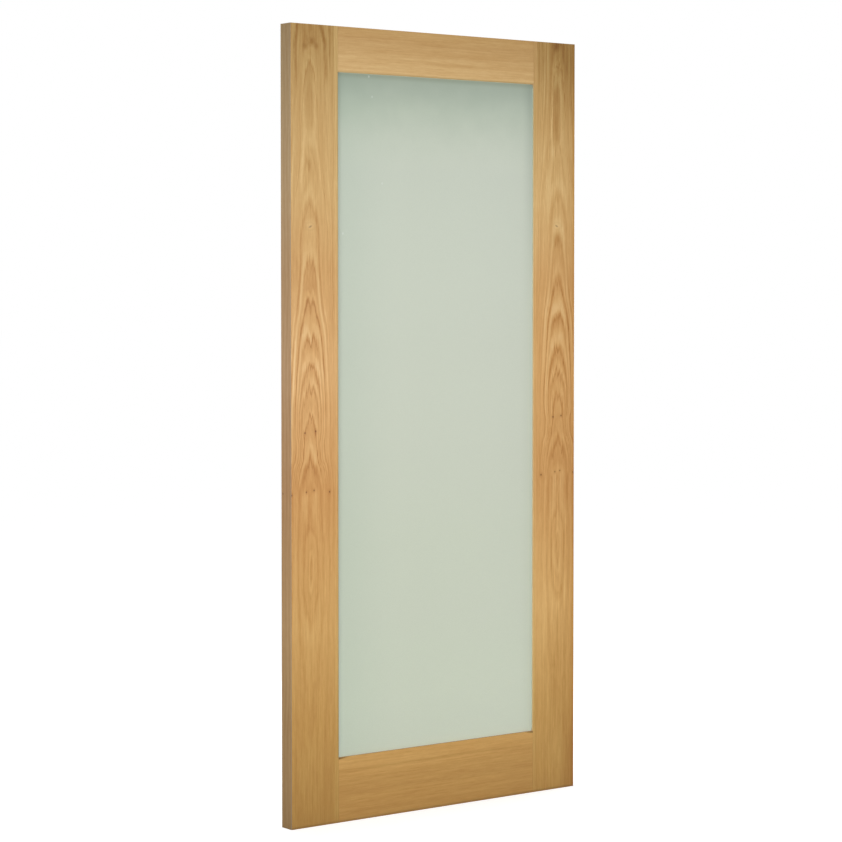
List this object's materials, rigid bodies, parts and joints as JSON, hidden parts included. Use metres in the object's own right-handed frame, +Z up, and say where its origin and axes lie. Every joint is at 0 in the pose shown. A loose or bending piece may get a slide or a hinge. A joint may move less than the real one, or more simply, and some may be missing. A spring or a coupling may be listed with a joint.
{
  "type": "glazed interior door leaf",
  "caption": "Engineered oak interior door leaf with two stiles, a top rail, a deeper bottom rail and one tall frosted glass pane held by mitred beads at the back.",
  "frame": {"origin": "on the flat hinge edge, at the middle of the leaf's thickness and at its foot", "axes": "+X across the leaf from the hinge edge to the lock edge, +Y through the leaf from the face side to the beaded back, +Z up"},
  "size_m": [0.914, 0.044, 1.981],
  "materials": {
    "oak_veneer": "satin",
    "oak_lipping": "satin",
    "oak_edge": "satin",
    "laminated_core": "matte",
    "oak_bead": "satin",
    "frosted_glass": "matte",
    "glazing_tape": "matte",
    "setting_block": "matte",
    "dowel": "matte"
  },
  "bodies": {
    "root": {"hinge_stile_core": "laminated_core", "lock_stile_core": "laminated_core", "top_rail_core": "laminated_core", "bottom_rail_core": "laminated_core", "hinge_edge_lipping": "oak_edge", "lock_edge_lipping": "oak_edge", "hinge_stile_inner_lipping": "oak_lipping", "lock_stile_inner_lipping": "oak_lipping", "top_rail_lipping": "oak_lipping", "bottom_rail_lipping": "oak_lipping", "hinge_stile_front_veneer": "oak_veneer", "lock_stile_front_veneer": "oak_veneer", "top_rail_front_veneer": "oak_veneer", "bottom_rail_front_veneer": "oak_veneer", "hinge_stile_back_veneer": "oak_veneer", "lock_stile_back_veneer": "oak_veneer", "top_rail_back_veneer": "oak_veneer", "bottom_rail_back_veneer": "oak_veneer", "bottom_glazing_bead": "oak_bead", "top_glazing_bead": "oak_bead", "hinge_side_glazing_bead": "oak_bead", "lock_side_glazing_bead": "oak_bead", "glass_pane": "frosted_glass", "front_glazing_tape": "glazing_tape", "back_glazing_tape": "glazing_tape", "setting_blocks": "setting_block", "joint_dowels": "dowel"}
  },
  "joints": []
}
